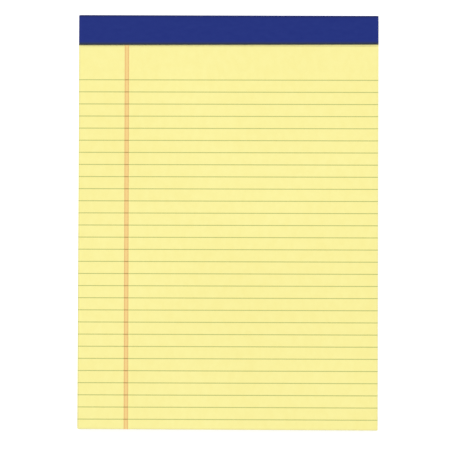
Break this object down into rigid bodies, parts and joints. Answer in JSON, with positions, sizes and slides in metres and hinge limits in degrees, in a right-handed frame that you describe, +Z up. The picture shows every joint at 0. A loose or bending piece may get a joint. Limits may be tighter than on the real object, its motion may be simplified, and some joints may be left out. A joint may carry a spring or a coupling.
{
  "type": "legal pad",
  "caption": "Letter-size legal pad: ruled yellow sheets on a chipboard back, perforated and wire-stitched at the head under a folded strip of dark blue binding tape.",
  "frame": {"origin": "centre of the footprint, on the surface that the pad lies on", "axes": "+Y towards the bound head and +X to the right as the top sheet is read, +Z up out of the top sheet"},
  "size_m": [0.2163, 0.2984, 0.0063],
  "materials": {
    "writing_paper": "uncoated canary yellow writing paper, printed with grey-green rules and a double red margin line",
    "chipboard": "unbleached grey-brown chipboard, matt and flecked with fibre",
    "binding_tape": "dark blue coated paper tape with a fine grain and a low sheen",
    "stitching_wire": "zinc-coated steel stitching wire"
  },
  "bodies": {
    "root": {"page_block": "writing_paper", "backing_board": "chipboard", "binding_tape": "binding_tape", "staple_1": "stitching_wire", "staple_2": "stitching_wire", "staple_3": "stitching_wire", "staple_4": "stitching_wire"}
  },
  "joints": []
}
